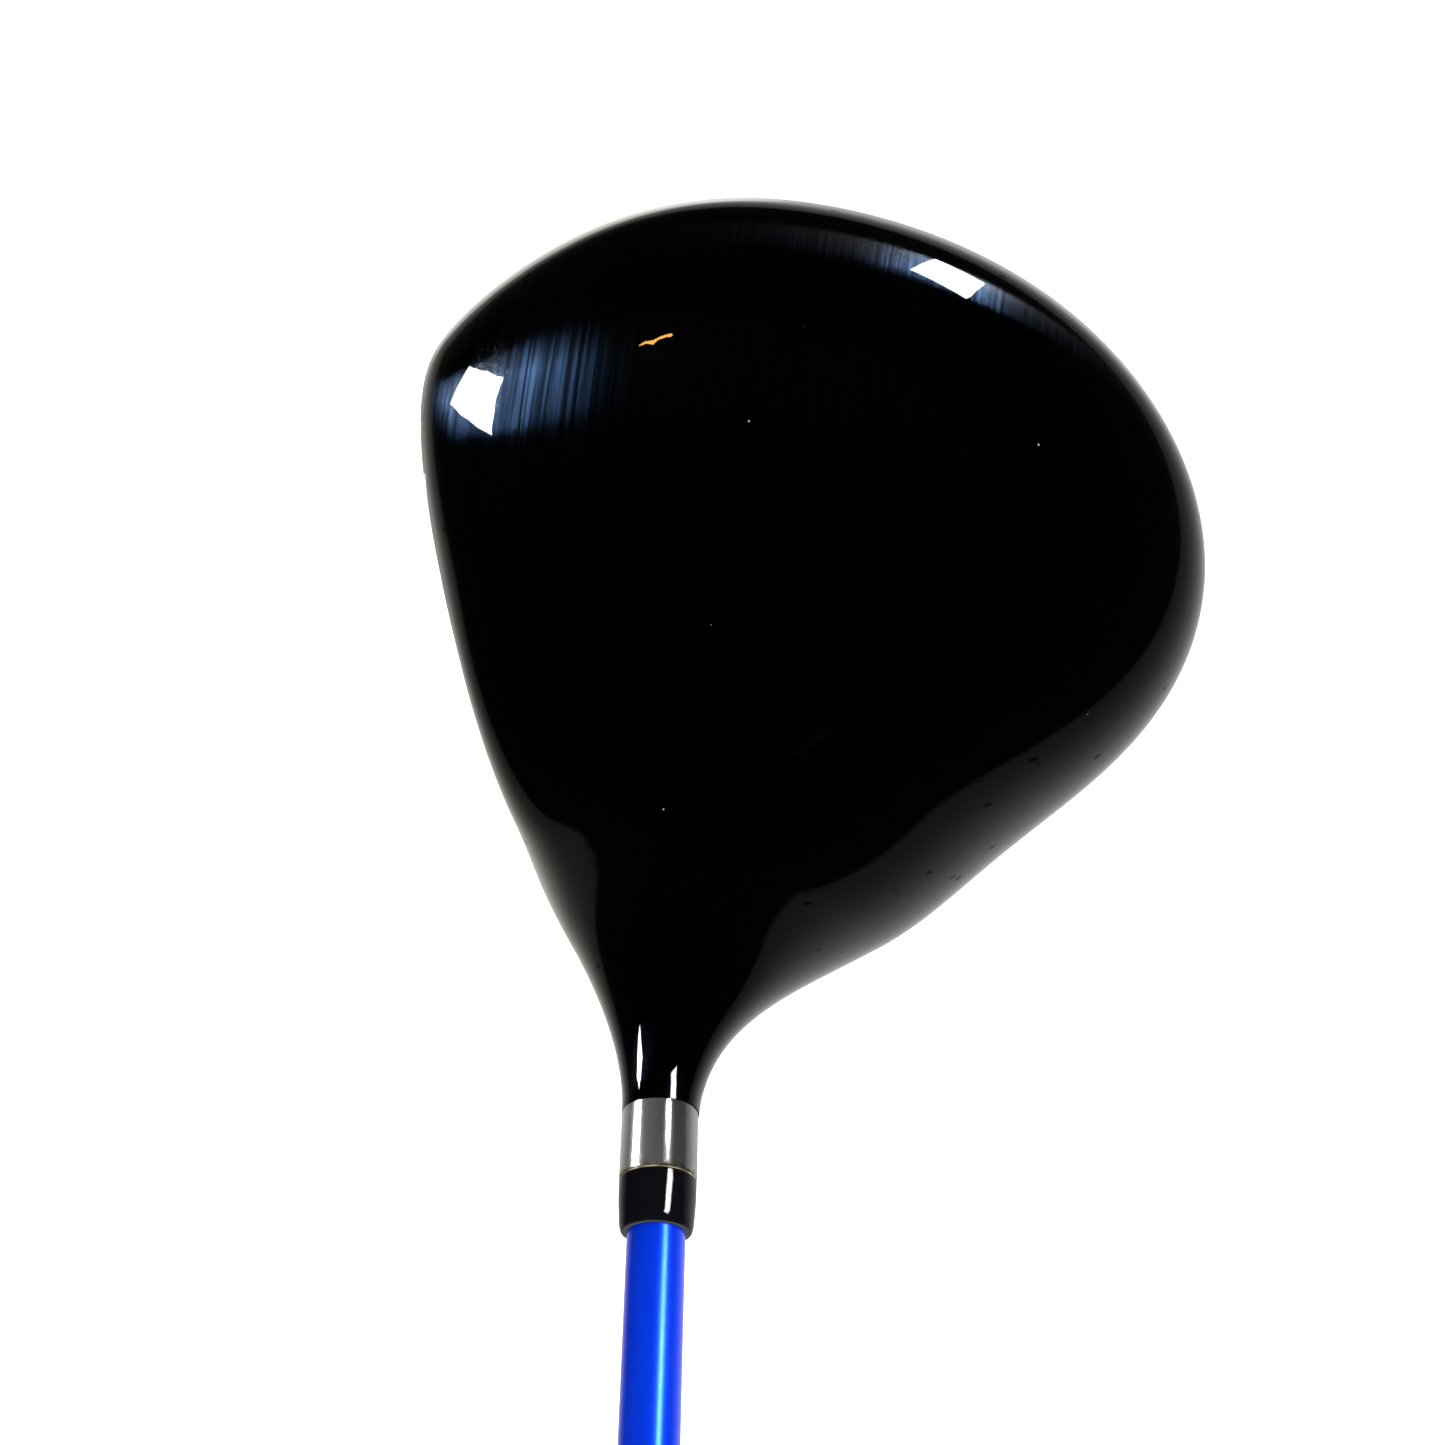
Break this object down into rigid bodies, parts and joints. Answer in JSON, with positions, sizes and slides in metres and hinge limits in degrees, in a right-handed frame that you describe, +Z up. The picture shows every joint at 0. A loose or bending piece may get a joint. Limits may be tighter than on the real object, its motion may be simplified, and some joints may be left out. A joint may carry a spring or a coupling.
{
  "type": "golf driver",
  "caption": "Golf driver for striking a ball from a tee: hollow metal head with a raised neck, ferrule, long tapered shaft and rubber grip.",
  "frame": {"origin": "lowest point of the sole, at the centre of its flat badge, with the club in its address pose", "axes": "+Z up from the ground, -Y the way the face looks (the target), +X from the toe towards the heel; the shaft rises towards +X and +Z"},
  "size_m": [0.7189, 0.1164, 0.987],
  "materials": {
    "crown_paint": "gloss lacquer over titanium",
    "body_paint": "gloss lacquer, bare satin rim and sole",
    "face_metal": "brushed titanium",
    "line_paint": "matt paint",
    "hosel_metal": "satin",
    "ferrule_plastic": "polished",
    "shaft_lacquer": "metallic blue lacquer over graphite tube",
    "epoxy": "set resin",
    "mark_paint": "worn paint",
    "badge_metal": "satin",
    "weight_steel": "machined",
    "washer_rubber": "matt",
    "compound": "tacky",
    "plug_plastic": "matt",
    "brass": "machined",
    "tape": "creped",
    "grip_rubber": "matt",
    "cap_rubber": "matt"
  },
  "bodies": {
    "root": {"crown": "crown_paint", "head_body": "body_paint", "face_plate": "face_metal", "score_line_paint": "line_paint", "hosel_tube": "hosel_metal", "ferrule": "ferrule_plastic", "shaft": "shaft_lacquer", "hosel_epoxy": "epoxy", "alignment_mark": "mark_paint", "sole_badge": "badge_metal", "rear_weight": "weight_steel", "weight_screw": "weight_steel", "weight_washer": "washer_rubber", "damping_compound": "compound", "hosel_stop": "plug_plastic", "tip_weight": "brass", "grip_tape": "tape", "grip": "grip_rubber", "grip_cap": "cap_rubber"}
  },
  "joints": []
}
